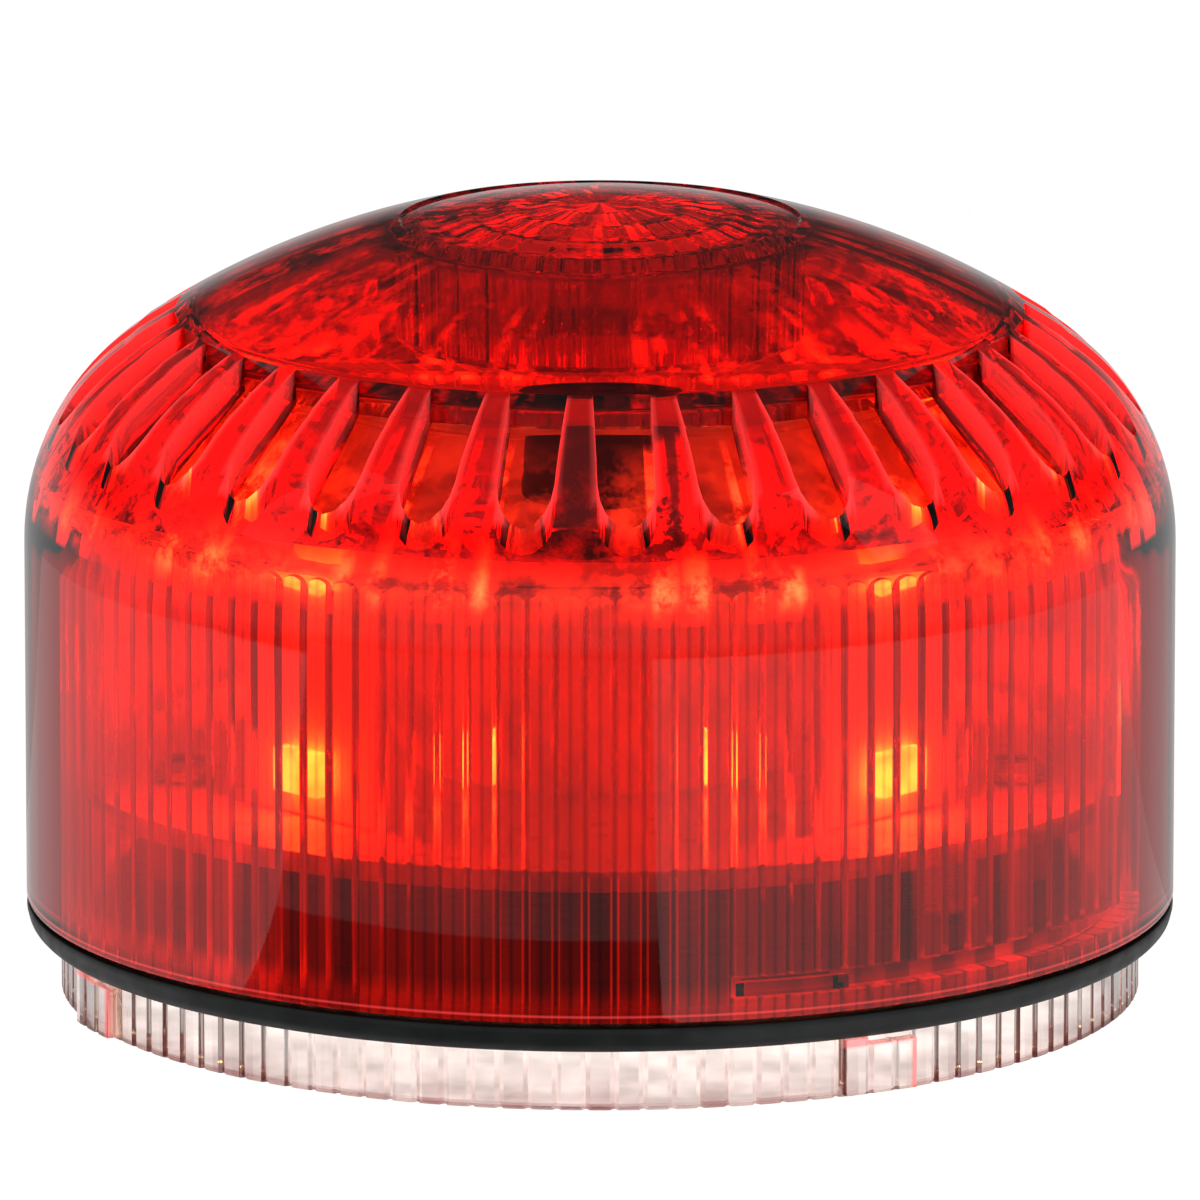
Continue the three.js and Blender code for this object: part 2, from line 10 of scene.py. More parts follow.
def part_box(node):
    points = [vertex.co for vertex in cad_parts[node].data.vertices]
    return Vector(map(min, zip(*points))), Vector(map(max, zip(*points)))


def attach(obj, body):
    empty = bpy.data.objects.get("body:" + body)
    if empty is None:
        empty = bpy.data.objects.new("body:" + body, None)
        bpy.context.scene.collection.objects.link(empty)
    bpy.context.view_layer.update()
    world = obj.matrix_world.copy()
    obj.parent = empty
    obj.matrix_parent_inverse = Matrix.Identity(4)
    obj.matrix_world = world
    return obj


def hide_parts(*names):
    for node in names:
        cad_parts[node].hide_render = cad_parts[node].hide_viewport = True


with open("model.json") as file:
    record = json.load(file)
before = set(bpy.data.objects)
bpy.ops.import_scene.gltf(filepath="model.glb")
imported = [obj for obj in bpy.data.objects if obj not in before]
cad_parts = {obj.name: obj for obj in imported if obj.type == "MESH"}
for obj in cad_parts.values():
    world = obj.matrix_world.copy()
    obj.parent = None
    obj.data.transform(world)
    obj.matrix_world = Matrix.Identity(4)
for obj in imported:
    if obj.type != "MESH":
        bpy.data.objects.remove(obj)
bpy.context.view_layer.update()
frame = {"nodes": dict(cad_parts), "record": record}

# Lengths in the shape code are millimetres in the row frame; MM turns them into Blender's metres.
# Azimuths are degrees from the front (-Y), positive towards +X.
MM = 0.001
NODES = frame["nodes"]

# ---------- driving dimensions ----------

DOME_R = 45.0
DOME_R_IN = 42.6
DOME_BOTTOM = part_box("dome_lens")[0].z / MM
EDGE_LIGHT_Z = DOME_BOTTOM + 0.6  # a thin line of light just above the dome's bottom edge
SHOULDER_R, SHOULDER_Z, SHOULDER_ARC = 26.0, 35.8, 19.0
SHOULDER_END_R = 36.4  # the cap's arc takes over from the shoulder's inside this radius
CAP_Z, CAP_ARC, CAP_ARC_IN = -2.6, 65.5, 63.1
PANEL_R, PANEL_DEPTH = 15.7, 0.25
BOSS_R_IN, BOSS_BOTTOM = 13.7, 51.1
POCKETS, POCKET_HALF, POCKET_PHASE = 33, 2.2, 2.85
POCKET_TOP_R, POCKET_TOP_Z, POCKET_END_R, POCKET_SLOPE = 33.1, 51.2, 40.2, -0.861
POCKET_WALL = 1.8
LUG_AZIMUTHS, LUG_HALF, LUG_R, LUG_LOW, LUG_HIGH = (20.0, 200.0), 5.1, 41.1, 9.0, 10.0
TWIST = 55.0

BODY_R, BODY_R_IN, FLUTES, FLUTE_DEPTH = 42.3, 40.1, 120, 0.45
SLOT_R, SLOT_LOW, SLOT_HIGH = 40.8, 8.7, 10.3
SLOT_PLAY = 1.5  # degrees past each end of a dome lug's travel, before the slot is snapped to a groove
RING_LUGS, RING_LUG_PROUD = (-67.0, 28.5, 118.0, 208.0), 1.0
RING_LUG_FOOT = 0.3
LUG_HEIGHTS = (4.7, 4.2)  # of a lug's left and right parts
LEDGE_R, LEDGE_LOW, LEDGE_HIGH = 38.7, 4.6, 5.9
MAIN_BOARD_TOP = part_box("main_board")[1].z / MM
LED_AZIMUTHS = (45.0, 135.0, 225.0, 315.0)

# ---------- mesh building ----------


class Shell:
    """Faces over points in millimetres. Points at the same place are one vertex."""

    def __init__(self, glow=None):
        self.verts, self.faces, self.found = [], [], {}
        self.glow = glow

    def vertex(self, point):
        key = tuple(round(c, 4) for c in point)
        if key not in self.found:
            self.found[key] = len(self.verts)
            self.verts.append(Vector(point) * MM)
        return self.found[key]

    def face(self, points):
        ids = []
        for point in points:
            i = self.vertex(point)
            if i not in ids:
                ids.append(i)
        if len(ids) > 2:
            self.faces.append(ids)

    def skin(self, rows, closed=False):
        for low, high in zip(rows, rows[1:]):
            last = len(low) if closed else len(low) - 1
            for i in range(last):
                j = (i + 1) % len(low)
                self.face((low[i], low[j], high[j], high[i]))


def lerp(a, b, t):
    return a + (b - a) * t


def polar(r, azimuth, z):
    a = math.radians(azimuth)
    return (r * math.sin(a), -r * math.cos(a), z)


def circle(r, z, azimuths):
    return [polar(r, a, z) for a in azimuths]


def even_azimuths(count):
    return [i * 360.0 / count for i in range(count)]


def filleted(corners, steps=4):
    """A line through (r, z, fillet) corners with each corner rounded off."""
    points = []
    for i, (r, z, fillet) in enumerate(corners):
        if not fillet or i in (0, len(corners) - 1):
            points.append((r, z))
            continue
        here = Vector((r, z))
        before = (Vector(corners[i - 1][:2]) - here).normalized() * fillet + here
        after = (Vector(corners[i + 1][:2]) - here).normalized() * fillet + here
        for k in range(steps + 1):
            t = k / steps
            p = before * (1 - t) ** 2 + here * 2 * t * (1 - t) + after * t * t
            points.append((p.x, p.y))
    return points


def finish_mesh(name, shell, material, body, nodes=(), sharp=32.0, bevel=0.0):
    mesh = bpy.data.meshes.new(name)
    mesh.from_pydata(shell.verts, [], shell.faces)
    bm = bmesh.new()
    bm.from_mesh(mesh)
    bmesh.ops.recalc_face_normals(bm, faces=bm.faces)
    bm.to_mesh(mesh)
    bm.free()
    mesh.shade_smooth()
    mesh.set_sharp_from_angle(angle=math.radians(sharp))
    if shell.glow:
        paint_glow(mesh, shell.glow)
    piece = bpy.data.objects.new(name, mesh)
    bpy.context.scene.collection.objects.link(piece)
    mesh.materials.append(material)
    if bevel:
        add_bevel(piece, bevel, sharp)
    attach(piece, body)
    if nodes:
        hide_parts(*nodes)
    return piece


def paint_glow(mesh, glow):
    """Stores each point's share of the lamp's scattered light, how red that is, and how much painted shade
    darkens it.
    """
    strength = mesh.attributes.new("glow", "FLOAT", "POINT")
    redness = mesh.attributes.new("redness", "FLOAT", "POINT")
    shade = mesh.attributes.new("shade", "FLOAT", "POINT")
    for i, vertex in enumerate(mesh.vertices):
        x, y, z = vertex.co / MM
        azimuth = math.degrees(math.atan2(x, -y)) % 360
        painted = (*glow(math.hypot(x, y), azimuth, z), 0.0)
        strength.data[i].value, redness.data[i].value, shade.data[i].value = painted[:3]


def add_bevel(piece, width, angle=32.0, segments=2):
    bevel = piece.modifiers.new("edge", "BEVEL")
    bevel.width = width * MM
    bevel.segments = segments
    bevel.limit_method = "ANGLE"
    bevel.angle_limit = math.radians(angle)
    bevel.use_clamp_overlap = True


def turned(corners, segments=192, steps=4, centre=(0.0, 0.0)):
    """A closed turned shape from an outline of (r, z, fillet) corners; it may start and end on the axis."""
    shell = Shell()
    azimuths = even_azimuths(segments)
    on_axis = corners[0][0] == 0
    ring = corners if on_axis else [*corners, corners[0]]
    outline = filleted(ring, steps)
    rows = [[(x + centre[0], y + centre[1], z) for x, y, z in circle(r, z, azimuths)] for r, z in outline]
    shell.skin(rows, closed=True)
    return shell


# ---------- materials ----------


def new_material(name):
    material = bpy.data.materials.new(name)
    material.use_nodes = True
    tree = material.node_tree
    return material, tree, tree.nodes["Principled BSDF"]


def link(tree, source, target):
    tree.links.new(source, target)


def position(tree):
    return tree.nodes.new("ShaderNodeTexCoord").outputs["Object"]


def noise(tree, scale, detail=3.0, roughness=0.5, stretch=(1, 1, 1)):
    """A noise value over the piece, with scale in features per metre."""
    mapping = tree.nodes.new("ShaderNodeMapping")
    mapping.inputs["Scale"].default_value = stretch
    link(tree, position(tree), mapping.inputs["Vector"])
    node = tree.nodes.new("ShaderNodeTexNoise")
    node.inputs["Scale"].default_value = scale
    node.inputs["Detail"].default_value = detail
    node.inputs["Roughness"].default_value = roughness
    link(tree, mapping.outputs["Vector"], node.inputs["Vector"])
    return node.outputs["Fac"]


def spread(tree, value, low, high, from_low=0.3, from_high=0.7):
    node = tree.nodes.new("ShaderNodeMapRange")
    node.inputs["From Min"].default_value = from_low
    node.inputs["From Max"].default_value = from_high
    node.inputs["To Min"].default_value = low
    node.inputs["To Max"].default_value = high
    link(tree, value, node.inputs["Value"])
    return node.outputs["Result"]


def blend_colours(tree, value, low, high):
    node = tree.nodes.new("ShaderNodeMix")
    node.data_type = "RGBA"
    node.inputs[6].default_value = (*low, 1)
    node.inputs[7].default_value = (*high, 1)
    link(tree, value, node.inputs[0])
    return node.outputs[2]


def bump(tree, bsdf, value, strength, distance_mm):
    node = tree.nodes.new("ShaderNodeBump")
    node.inputs["Strength"].default_value = strength
    node.inputs["Distance"].default_value = distance_mm * MM
    link(tree, value, node.inputs["Height"])
    link(tree, node.outputs["Normal"], bsdf.inputs["Normal"])


def moulded(name, low, high, rough=(0.35, 0.55), grain=1800.0, depth=0.012, specular=0.5):
    """Moulded plastic: a slightly uneven colour, a fine grain and patchy gloss."""
    material, tree, bsdf = new_material(name)
    colour = blend_colours(tree, spread(tree, noise(tree, 90.0), 0.0, 1.0), low, high)
    link(tree, colour, bsdf.inputs["Base Color"])
    link(tree, spread(tree, noise(tree, 240.0, 4.0), *rough), bsdf.inputs["Roughness"])
    bump(tree, bsdf, noise(tree, grain, 2.0), 0.35, depth)
    bsdf.inputs["Specular IOR Level"].default_value = specular
    return material


def attribute(tree, name):
    node = tree.nodes.new("ShaderNodeAttribute")
    node.attribute_name = name
    return node.outputs["Fac"]


def product(tree, a, b):
    node = tree.nodes.new("ShaderNodeMath")
    node.operation = "MULTIPLY"
    for socket, value in zip(node.inputs, (a, b)):
        if isinstance(value, float):
            socket.default_value = value
        else:
            link(tree, value, socket)
    return node.outputs[0]


def add_glow(tree, bsdf, patches, warm, deep, red):
    """The lamp's light scattered from a surface: painted strength, patchy over the surface."""
    colour = tree.nodes.new("ShaderNodeMix")
    colour.data_type = "RGBA"
    link(tree, attribute(tree, "redness"), colour.inputs[0])
    link(tree, blend_colours(tree, patches, deep, warm), colour.inputs[6])
    colour.inputs[7].default_value = (*red, 1)
    link(tree, colour.outputs[2], bsdf.inputs["Emission Color"])
    even = tree.nodes.new("ShaderNodeMix")
    link(tree, attribute(tree, "redness"), even.inputs[0])
    link(tree, patches, even.inputs[2])
    even.inputs[3].default_value = 1.0
    link(tree, product(tree, attribute(tree, "glow"), even.outputs[0]), bsdf.inputs["Emission Strength"])


def red_plastic():
    material, tree, bsdf = new_material("red_polycarbonate")
    bsdf.inputs["Base Color"].default_value = (1.0, 0.93, 0.92, 1)
    bsdf.inputs["Transmission Weight"].default_value = 1.0
    bsdf.inputs["IOR"].default_value = 1.58
    link(tree, spread(tree, noise(tree, 60.0, 4.0), 0.0, 0.035), bsdf.inputs["Roughness"])
    bump(tree, bsdf, noise(tree, 110.0, 2.0), 0.12, 0.05)
    tint = tree.nodes.new("ShaderNodeVolumeAbsorption")
    tint.inputs["Color"].default_value = (0.962, 0.19, 0.0, 1)
    tint.inputs["Density"].default_value = 2300.0
    link(tree, tint.outputs["Volume"], tree.nodes["Material Output"].inputs["Volume"])
    patches = spread(tree, noise(tree, 300.0, 6.0, 0.7), 0.05, 2.2, 0.44, 0.62)
    add_glow(tree, bsdf, patches, (1.0, 0.75, 0.4), (1.0, 0.35, 0.1), (1.0, 0.075, 0.075))
    return material


def clear_plastic():
    material, tree, bsdf = new_material("clear_polycarbonate")
    # Base colour: pinker where the redness attribute is high, and darkened towards dark pink by the painted
    # shade attribute.
    shade_mixed_colour = tree.nodes.new("ShaderNodeMix")
    shade_mixed_colour.data_type = "RGBA"
    link(tree, attribute(tree, "shade"), shade_mixed_colour.inputs[0])
    colour_before_shade = blend_colours(tree, attribute(tree, "redness"), (0.985, 0.975, 0.96), (0.94, 0.89, 0.87))
    link(tree, colour_before_shade, shade_mixed_colour.inputs[6])
    shade_mixed_colour.inputs[7].default_value = (0.3, 0.12, 0.13, 1)
    link(tree, shade_mixed_colour.outputs[2], bsdf.inputs["Base Color"])
    bsdf.inputs["Transmission Weight"].default_value = 1.0
    bsdf.inputs["IOR"].default_value = 1.58
    link(tree, spread(tree, noise(tree, 150.0, 4.0), 0.02, 0.09), bsdf.inputs["Roughness"])
    bump(tree, bsdf, noise(tree, 400.0, 2.0, stretch=(1, 1, 0.2)), 0.1, 0.04)
    patches = spread(tree, noise(tree, 260.0, 4.0, 0.6, stretch=(1, 1, 0.16)), 0.35, 1.6)
    add_glow(tree, bsdf, patches, (1.0, 0.8, 0.5), (1.0, 0.6, 0.3), (1.0, 0.12, 0.12))
    return material


def lit_white(name, strength):
    """White plastic with the lamp's light on it."""
    material, tree, bsdf = new_material(name)
    grain = noise(tree, 1500.0, 2.0)
    link(tree, blend_colours(tree, grain, (0.76, 0.74, 0.7), (0.84, 0.82, 0.78)), bsdf.inputs["Base Color"])
    link(tree, spread(tree, grain, 0.35, 0.5), bsdf.inputs["Roughness"])
    bump(tree, bsdf, grain, 0.2, 0.01)
    bsdf.inputs["Emission Color"].default_value = (1.0, 0.78, 0.5, 1)
    patches = spread(tree, noise(tree, 130.0, 4.0, 0.6), 0.2 * strength, 2.0 * strength)
    link(tree, patches, bsdf.inputs["Emission Strength"])
    return material


def rubber():
    material, tree, bsdf = new_material("gasket_rubber")
    patches = spread(tree, noise(tree, 300.0), 0.0, 1.0)
    colour = blend_colours(tree, patches, (0.006, 0.008, 0.008), (0.014, 0.017, 0.017))
    link(tree, colour, bsdf.inputs["Base Color"])
    link(tree, spread(tree, noise(tree, 500.0), 0.38, 0.55), bsdf.inputs["Roughness"])
    bump(tree, bsdf, noise(tree, 2500.0, 2.0), 0.3, 0.02)
    return material


def lit_led(name, strength):
    """Warm phosphor, brightest over the chip in its middle."""
    material, tree, bsdf = new_material(name)
    cells = tree.nodes.new("ShaderNodeTexVoronoi")
    cells.inputs["Scale"].default_value = 500.0
    link(tree, position(tree), cells.inputs["Vector"])
    bsdf.inputs["Base Color"].default_value = (1.0, 0.8, 0.4, 1)
    bsdf.inputs["Roughness"].default_value = 0.3
    bsdf.inputs["Emission Color"].default_value = (1.0, 0.65, 0.14, 1)
    glow = spread(tree, cells.outputs["Distance"], strength, 0.4 * strength, 0.0, 0.8)
    link(tree, glow, bsdf.inputs["Emission Strength"])
    return material


def metal(name, colour, rough=(0.18, 0.35), stretch=(1, 1, 12)):
    material, tree, bsdf = new_material(name)
    dark = tuple(c * 0.82 for c in colour)
    streaks = noise(tree, 900.0, 3.0, stretch=stretch)
    link(tree, blend_colours(tree, spread(tree, streaks, 0.0, 1.0), dark, colour), bsdf.inputs["Base Color"])
    link(tree, spread(tree, streaks, *rough), bsdf.inputs["Roughness"])
    bump(tree, bsdf, streaks, 0.2, 0.01)
    bsdf.inputs["Metallic"].default_value = 1.0
    return material


def circuit_board(name, mask, pad):
    """Solder mask with a scatter of small square pads."""
    material, tree, bsdf = new_material(name)
    cells = tree.nodes.new("ShaderNodeTexVoronoi")
    cells.distance = "CHEBYCHEV"
    cells.inputs["Scale"].default_value = 330.0
    link(tree, position(tree), cells.inputs["Vector"])
    pads = spread(tree, cells.outputs["Distance"], 1.0, 0.0, 0.16, 0.2)
    link(tree, blend_colours(tree, pads, mask, pad), bsdf.inputs["Base Color"])
    link(tree, spread(tree, noise(tree, 700.0), 0.3, 0.5), bsdf.inputs["Roughness"])
    bump(tree, bsdf, pads, 0.3, 0.03)
    return material


RED = red_plastic()
CLEAR = clear_plastic()
RUBBER = rubber()
LED = lit_led("led_phosphor", 260.0)
DIM_LED = lit_led("dim_led_phosphor", 60.0)
WHITE = moulded("white_plastic", (0.72, 0.70, 0.66), (0.82, 0.80, 0.76))
BLACK = moulded("black_plastic", (0.010, 0.010, 0.011), (0.022, 0.022, 0.023))
BLUE = moulded("blue_plastic", (0.01, 0.05, 0.2), (0.015, 0.07, 0.26))
FERRITE = moulded("ferrite", (0.02, 0.02, 0.022), (0.05, 0.05, 0.054), grain=3000.0, depth=0.03)
WHITE_BOARD = circuit_board("white_board", (0.78, 0.77, 0.73), (0.62, 0.6, 0.55))
LIT_WHITE = lit_white("lit_white_plastic", 0.25)
LIT_BOARD = lit_white("lit_white_board", 0.25)
GREEN_BOARD = circuit_board("green_board", (0.01, 0.09, 0.03), (0.02, 0.15, 0.05))
STEEL = metal("bright_steel", (0.62, 0.63, 0.65))
GOLD = metal("gold_plate", (0.95, 0.68, 0.28))
BRASS = metal("brass_disc", (0.8, 0.58, 0.25))
CAN = metal("aluminium_can", (0.7, 0.71, 0.73))
SLOT_MATERIALS = {
    "red_lens": RED,
    "clear_plastic": CLEAR,
    "gasket_rubber": RUBBER,
    "white_plastic": WHITE,
    "white_board": WHITE_BOARD,
    "green_board": GREEN_BOARD,
    "black_plastic": BLACK,
    "ferrite": FERRITE,
    "capacitor": CAN,
    "brass": BRASS,
    "blue_plastic": BLUE,
    "white_lever": WHITE,
    "gold_plate": GOLD,
    "steel": STEEL,
    "led": LED,
}

# nodes that differ from the rest of their slot, because the lamp lights them
NODE_MATERIALS = {
    "light_guide": LIT_WHITE,
    "top_board": LIT_BOARD,
    "led_board_1": LIT_BOARD,
    "led_board_2": LIT_BOARD,
    "led_board_3": LIT_BOARD,
    "led_board_4": LIT_BOARD,
    "led_high_1": DIM_LED,
    "led_high_2": DIM_LED,
    "led_high_3": DIM_LED,
    "led_high_4": DIM_LED,
}

# ---------- red dome ----------


def dome_outer_z(r):
    if r > SHOULDER_END_R:
        return SHOULDER_Z + math.sqrt(max(SHOULDER_ARC**2 - (r - SHOULDER_R) ** 2, 0.0))
    return CAP_Z + math.sqrt(CAP_ARC**2 - r * r)


def pocket_floor_z(y):
    return POCKET_TOP_Z + (y - POCKET_TOP_R) * POCKET_SLOPE


# across a pocket, from edge to edge, and across the fin that follows it
POCKET_COLUMNS = (-1.0, -0.93, -0.75, -0.4, 0.0, 0.4, 0.75, 0.93, 1.0)
FIN_COLUMNS = (0.0, 0.2, 0.5, 0.8, 1.0)


def pocket_plan(across, t):
    """Radius, azimuth and y in a pocket: across it from -1 to 1, and t from its round end to its top."""
    x = POCKET_HALF * across
    end = POCKET_END_R + POCKET_HALF * math.sqrt(1 - across * across)
    y = lerp(end, POCKET_TOP_R, t)
    return math.hypot(x, y), math.degrees(math.atan2(x, y)), y


def fin_plan(across, t):
    r, edge, _ = pocket_plan(1.0, t)
    return r, lerp(edge, 360.0 / POCKETS - edge, across)


def dome_rows_below(plan_start, centre):
    """Rows of the upright wall and the lower shoulder, up to where the pockets and fins start."""
    low_r = DOME_R - 1.6
    arc_end = math.acos((low_r - SHOULDER_R) / SHOULDER_ARC)
    profile = [(DOME_R - 0.3, DOME_BOTTOM), (DOME_R - 0.09, DOME_BOTTOM + 0.09), (DOME_R, DOME_BOTTOM + 0.3)]
    profile += [(DOME_R, EDGE_LIGHT_Z + offset) for offset in (-0.15, 0.0, 0.15)]
    profile += [(DOME_R, lerp(EDGE_LIGHT_Z, SHOULDER_Z, k / 4)) for k in range(1, 4)]
    for k in range(9):
        a = arc_end * k / 8
        profile.append((SHOULDER_R + SHOULDER_ARC * math.cos(a), SHOULDER_Z + SHOULDER_ARC * math.sin(a)))
    rows = [[polar(r, centre + a, z) for _, a in plan_start] for r, z in profile]
    for k in range(1, 6):
        row = []
        for start_r, a in plan_start:
            r = lerp(low_r, start_r, k / 5)
            row.append(polar(r, centre + a, dome_outer_z(r)))
        rows.append(row)
    return rows


def dome_rows_above(plan_end, centre):
    """Rows of the cap, from the pockets' top edge to the middle, with the shallow round panel."""
    rows = []
    for k in range(1, 15):
        row = []
        for end_r, a in plan_end:
            r = lerp(end_r, PANEL_R, k / 14)
            row.append(polar(r, centre + a, dome_outer_z(r)))
        rows.append(row)
    for r in (PANEL_R - 0.25, 13.0, 10.5, 8.0, 5.5, 3.0, 1.2, 0.0):
        rows.append([polar(r, centre + a, dome_outer_z(r) - PANEL_DEPTH) for _, a in plan_end])
    return rows


def dome_outside(shell):
    levels = [k / 12 for k in range(13)]
    for i in range(POCKETS):
        centre = POCKET_PHASE + i * 360.0 / POCKETS
        start = [pocket_plan(f, 0.0)[:2] for f in POCKET_COLUMNS]
        end = [pocket_plan(f, 1.0)[:2] for f in POCKET_COLUMNS]
        rows = dome_rows_below(start, centre)
        for t in levels:
            row = []
            for f in POCKET_COLUMNS:
                r, a, y = pocket_plan(f, t)
                row.append(polar(r, centre + a, pocket_floor_z(y)))
            rows.append(row)
        rows.append([polar(r, centre + a, dome_outer_z(r)) for r, a in end])
        shell.skin(rows + dome_rows_above(end, centre))
        start = [fin_plan(f, 0.0) for f in FIN_COLUMNS]
        end = [fin_plan(f, 1.0) for f in FIN_COLUMNS]
        rows = dome_rows_below(start, centre)
        for t in levels[1:]:
            fin = [fin_plan(f, t) for f in FIN_COLUMNS]
            rows.append([polar(r, centre + a, dome_outer_z(r)) for r, a in fin])
        shell.skin(rows + dome_rows_above(end, centre))
        for side in (-1.0, 1.0):
            high, low = [], []
            for t in levels:
                r, a, y = pocket_plan(side, t)
                high.append(polar(r, centre + a, dome_outer_z(r)))
                low.append(polar(r, centre + a, pocket_floor_z(y)))
            shell.skin([low, high])


def dome_azimuths():
    azimuths = []
    for i in range(POCKETS):
        centre = POCKET_PHASE + i * 360.0 / POCKETS
        azimuths += [centre + pocket_plan(f, 0.0)[1] for f in POCKET_COLUMNS]
        azimuths += [centre + fin_plan(f, 0.0)[1] for f in FIN_COLUMNS[1:-1]]
    return azimuths


def inner_cone():
    """The inside of the dome under the pockets, as a radius and height to start from."""
    length = math.hypot(1.0, POCKET_SLOPE)
    return POCKET_TOP_R + POCKET_SLOPE / length * POCKET_WALL, POCKET_TOP_Z - POCKET_WALL / length


def roof_z(r):
    return CAP_Z + math.sqrt(CAP_ARC_IN**2 - r * r)


def dome_inside_profile():
    cone_r, cone_z = inner_cone()
    step_r = cone_r - 0.9
    corners = [
        (DOME_R_IN, 12.0, 0),
        (DOME_R_IN, 37.8, 0),
        (DOME_R_IN, cone_z + (DOME_R_IN - cone_r) * POCKET_SLOPE, 1.2),
        (cone_r, cone_z, 0.5),
        (step_r, roof_z(step_r), 0.5),
    ]
    for k in range(1, 6):
        r = lerp(step_r, PANEL_R, k / 6)
        corners.append((r, roof_z(r), 0))
    corners += [
        (PANEL_R, roof_z(PANEL_R), 0.4),
        (PANEL_R, BOSS_BOTTOM, 0.5),
        (BOSS_R_IN, BOSS_BOTTOM, 0.5),
        (BOSS_R_IN, roof_z(BOSS_R_IN), 0.3),
    ]
    profile = filleted(corners, steps=4)
    waves, per_wave = 4, 8
    for k in range(1, waves * per_wave + 1):
        r = BOSS_R_IN * (1 - k / (waves * per_wave))
        ripple = 0.45 * (1 - math.cos(2 * math.pi * k / per_wave))
        profile.append((r, roof_z(r) - ripple))
    return profile


def lug_share(azimuth, z):
    """1 where a dome lug stands on the inside wall, 0 elsewhere."""
    near = any(abs((azimuth - a + 180) % 360 - 180) < LUG_HALF for a in LUG_AZIMUTHS)
    return 1.0 if near and LUG_LOW <= z <= LUG_HIGH else 0.0


def rippled(r, z, azimuths):
    """A circle of the boss or the lens, with the slight waves of a moulded optic."""
    if r > PANEL_R + 0.2:
        return circle(r, z, azimuths)
    points = []
    for a in azimuths:
        t = math.radians(a)
        wave = math.sin(37 * t) + 0.7 * math.sin(61 * t + 1)
        if r > BOSS_R_IN - 0.2:
            points.append(polar(r + 0.07 * wave, a, z))
        else:
            points.append(polar(r, a, z - 0.06 * wave * min(r / 6, 1)))
    return points


def dome_inside(shell):
    azimuths = dome_azimuths()
    rows = [circle(DOME_R - 0.3, DOME_BOTTOM, azimuths), circle(DOME_R_IN, DOME_BOTTOM, azimuths)]
    for z in (LUG_LOW - 0.04, LUG_LOW, LUG_HIGH, LUG_HIGH + 0.04):
        rows.append([polar(lerp(DOME_R_IN, LUG_R, lug_share(a, z)), a, z) for a in azimuths])
    rows += [rippled(r, z, azimuths) for r, z in dome_inside_profile()]
    shell.skin(rows, closed=True)


def near_led(azimuth, width):
    offset = min(abs((azimuth - led + 180) % 360 - 180) for led in LED_AZIMUTHS)
    return math.exp(-((offset / width) ** 2))


def pocket_offset(r, azimuth):
    """Distance from the middle line of the nearest pocket."""
    pitch = 360.0 / POCKETS
    offset = (azimuth - POCKET_PHASE + pitch / 2) % pitch - pitch / 2
    return r * math.sin(math.radians(abs(offset)))


random.seed(5)
STREAKS = 96
STREAK_GLOW = [random.uniform(0.0, 1.0) ** 2 * 3 for _ in range(STREAKS)]
SPARKLE_FROM = 2.0  # streaks brighter than this also catch a lamp
CONE_LIT = (38.0, 47.6)  # the lit part of the cone under the pockets, from low to high
FIN_END_R = 42.2


def streak(azimuth, finer=1):
    """How bright the streak at this azimuth is, about 1 on average."""
    return STREAK_GLOW[int(azimuth * STREAKS * finer / 360.0) % STREAKS]


def fin_glow(r, azimuth, z):
    """A fin's top is softly lit, and its long edges catch more of the light."""
    if not POCKET_TOP_R + 0.3 < r < FIN_END_R or z < dome_outer_z(r) - 0.05:
        return 0.0
    return 0.45 if pocket_offset(r, azimuth) < POCKET_HALF + 0.06 else 0.06


def roof_glow(r, azimuth):
    """The roof is lit at both sides of the boss, between it and the pockets."""
    if not 18.0 < r < 28.5:
        return 0.02
    side = abs((azimuth + 180) % 360 - 180)
    cell = streak(azimuth, 2)
    sparkle = 0.6 if cell > SPARKLE_FROM and r > 21.0 else 0.0
    return (0.04 + 0.2 * math.exp(-(((side - 72.0) / 32.0) ** 2))) * streak(azimuth) + sparkle


def dome_glow(r, azimuth, z):
    """Light in the dome: its inside under the pockets, the fins' tops, the roof, the boss and the lens."""
    cone_r, cone_z = inner_cone()
    if r > DOME_R - 0.05 and abs(z - EDGE_LIGHT_Z) < 0.05:
        return 0.5, 1.0
    if r > cone_r - 0.2:
        lit_low, lit_high = CONE_LIT
        on_cone = r < DOME_R_IN + 0.1 and lit_low < z < cone_z + (r - cone_r) * POCKET_SLOPE + 0.1
        if on_cone:
            cell = streak(azimuth, 2)
            sparkle = 6.0 if cell > SPARKLE_FROM else 0.0
            lit = 0.4 + 0.35 * cell + sparkle + 2.0 * near_led(azimuth, 12.0)
            return (0.0 if z > lit_high else lit), 0.0
        return fin_glow(r, azimuth, z), 1.0
    if z > roof_z(r) + 0.1:
        return 0.0, 1.0
    if r > PANEL_R + 0.3:
        return roof_glow(r, azimuth), 0.0
    if r > BOSS_R_IN - 0.3:
        if z < BOSS_BOTTOM + 0.3:
            return 0.4 * streak(azimuth), 0.0
        return 0.02 * streak(azimuth), 0.0
    cell = streak(azimuth + 7.0 * math.floor(r / 3.0))
    return 0.2 * cell + (1.5 if cell > SPARKLE_FROM and r < 9.0 else 0.0), 0.0


def build_dome():
    shell = Shell(dome_glow)
    dome_outside(shell)
    dome_inside(shell)
    finish_mesh("red_dome", shell, RED, "dome", ["dome_lens"], bevel=0.12)


# ---------- clear fluted body ----------

# distance along the rim from a flute's middle, and how far the surface drops there
FLUTE_COLUMNS = (
    (-0.74, 0.0),
    (-0.5, -0.012),
    (-0.25, -0.02),
    (0.0, -0.022),
    (0.25, -0.02),
    (0.5, -0.012),
    (0.74, 0.0),
    (0.84, 0.09),
    (0.97, 0.33),
    (1.107, FLUTE_DEPTH),
    (1.245, 0.33),
    (1.375, 0.09),
)


